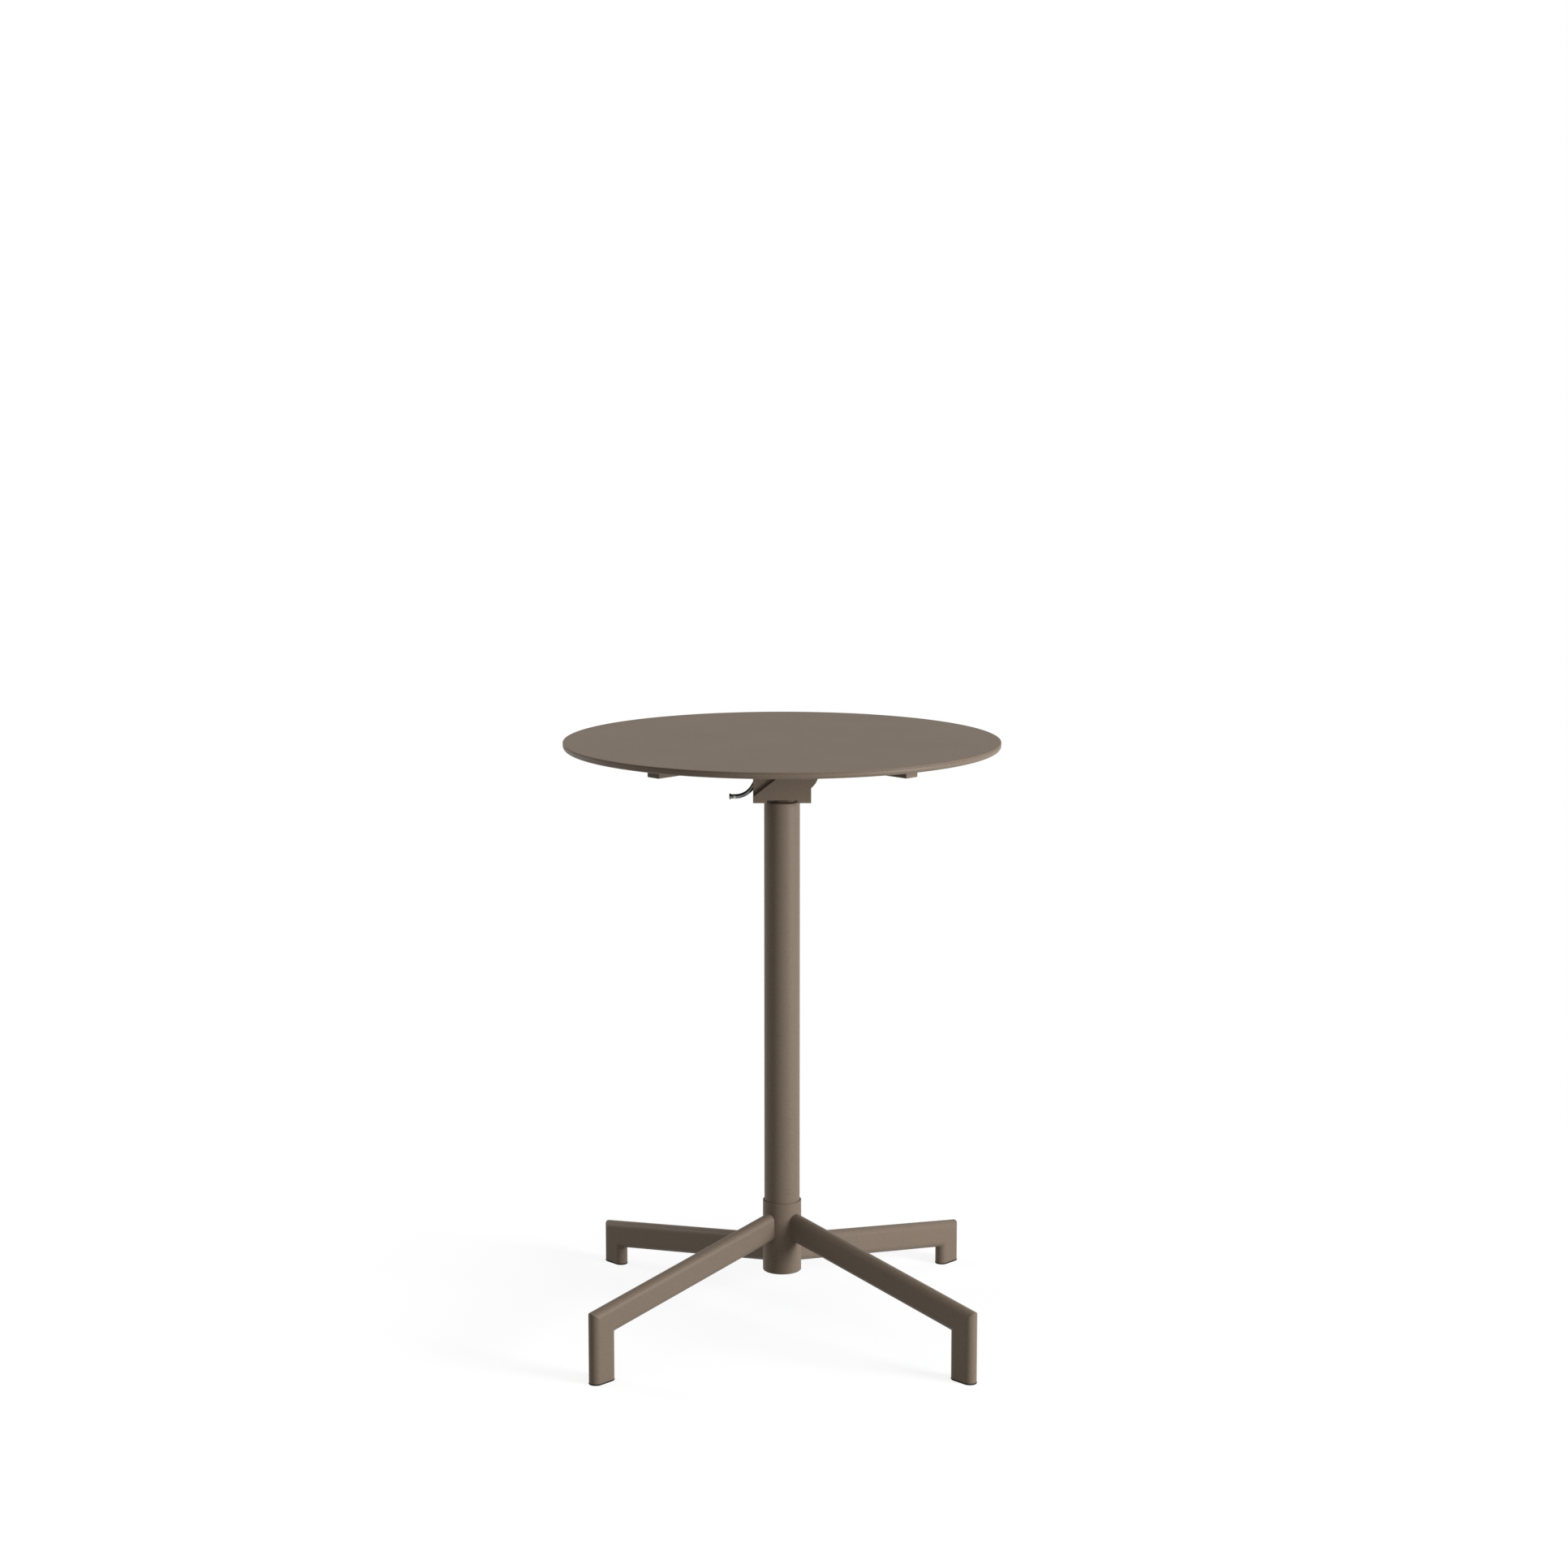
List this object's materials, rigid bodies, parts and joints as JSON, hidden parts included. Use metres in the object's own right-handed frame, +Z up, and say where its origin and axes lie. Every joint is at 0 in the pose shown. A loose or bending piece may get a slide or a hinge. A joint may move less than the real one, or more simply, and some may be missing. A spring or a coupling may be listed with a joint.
{
  "type": "pedestal table",
  "caption": "Round pedestal table whose column slides from cafe to bar height, with a tilting top, a bent release lever and a nesting base of mitred flat-oval legs.",
  "frame": {"origin": "on the floor under the axis of the column", "axes": "+Z up along the column, -Y to the front, the hinge's side of the top at +X and the lever at -X"},
  "size_m": [0.5399, 0.54, 0.74],
  "materials": {
    "powder_coat": "fine-textured taupe powder coat",
    "coated_board": "taupe coated board, fine texture",
    "chrome": "dark polished chrome",
    "plain_steel": "bright zinc-plated or ground steel",
    "black_plastic": "moulded black plastic",
    "rubber": "matte black rubber",
    "black_enamel": "black enamel"
  },
  "bodies": {
    "base": {"hub_sleeve": "powder_coat", "base_plug": "plain_steel", "column_pad": "rubber", "inner_post": "plain_steel", "post_guide_bush": "black_plastic", "gas_rod": "plain_steel", "gas_piston": "rubber", "gas_rod_nut": "plain_steel", "leg_arm_front_left": "powder_coat", "leg_foot_front_left": "powder_coat", "glide_front_left": "black_plastic", "leg_arm_front_right": "powder_coat", "leg_foot_front_right": "powder_coat", "glide_front_right": "black_plastic", "leg_arm_back_left": "powder_coat", "leg_foot_back_left": "powder_coat", "glide_back_left": "black_plastic", "leg_arm_back_right": "powder_coat", "leg_foot_back_right": "powder_coat", "glide_back_right": "black_plastic"},
    "column": {"column_tube": "powder_coat", "column_plug": "powder_coat", "column_guide_bush": "black_plastic", "gas_cylinder": "black_enamel", "gas_rod_guide": "black_plastic", "gas_spring_nut": "plain_steel", "yoke_cheek_front": "powder_coat", "yoke_cheek_back": "powder_coat", "yoke_web": "powder_coat", "hinge_pin": "plain_steel", "hinge_clips": "plain_steel", "head_rest_pads": "rubber"},
    "top": {"top_plate": "powder_coat", "top_board": "coated_board", "head_plate": "powder_coat", "spider_arm_front_left": "powder_coat", "spider_arm_front_right": "powder_coat", "spider_arm_back_left": "powder_coat", "spider_arm_back_right": "powder_coat", "arm_end_caps": "powder_coat", "arm_screws": "plain_steel", "head_screws": "plain_steel", "head_wall_front": "powder_coat", "head_wall_back": "powder_coat", "hinge_bushes": "black_plastic", "hinge_washers": "black_plastic", "lever_pin": "plain_steel"},
    "lever": {"lever_rod": "chrome", "lever_tip": "chrome", "lever_cam": "chrome"},
    "valve": {"release_pin": "plain_steel"}
  },
  "joints": [
    {"name": "column_height", "type": "slide", "parent": "base", "child": "column", "axis": [0, 0, 1], "range_m": [0, 0.28]},
    {"name": "top_tilt", "type": "hinge", "parent": "column", "child": "top", "pos_m": [0.02, 0, 0.7032], "axis": [0, 1, 0], "range_deg": [0, 90]},
    {"name": "lever_turn", "type": "hinge", "parent": "top", "child": "lever", "pos_m": [-0.02618, 0, 0.69912], "axis": [0, 1, 0], "range_deg": [0, 10], "stiffness_Nm_per_rad": 1, "springref_deg": -5.73},
    {"name": "valve_press", "type": "slide", "parent": "column", "child": "valve", "axis": [0, 0, -1], "range_m": [0, 0.0046]}
  ],
  "couplings": [
    {"joint": "valve_press", "follows": "lever_turn", "m_per_rad": 0.026176}
  ]
}
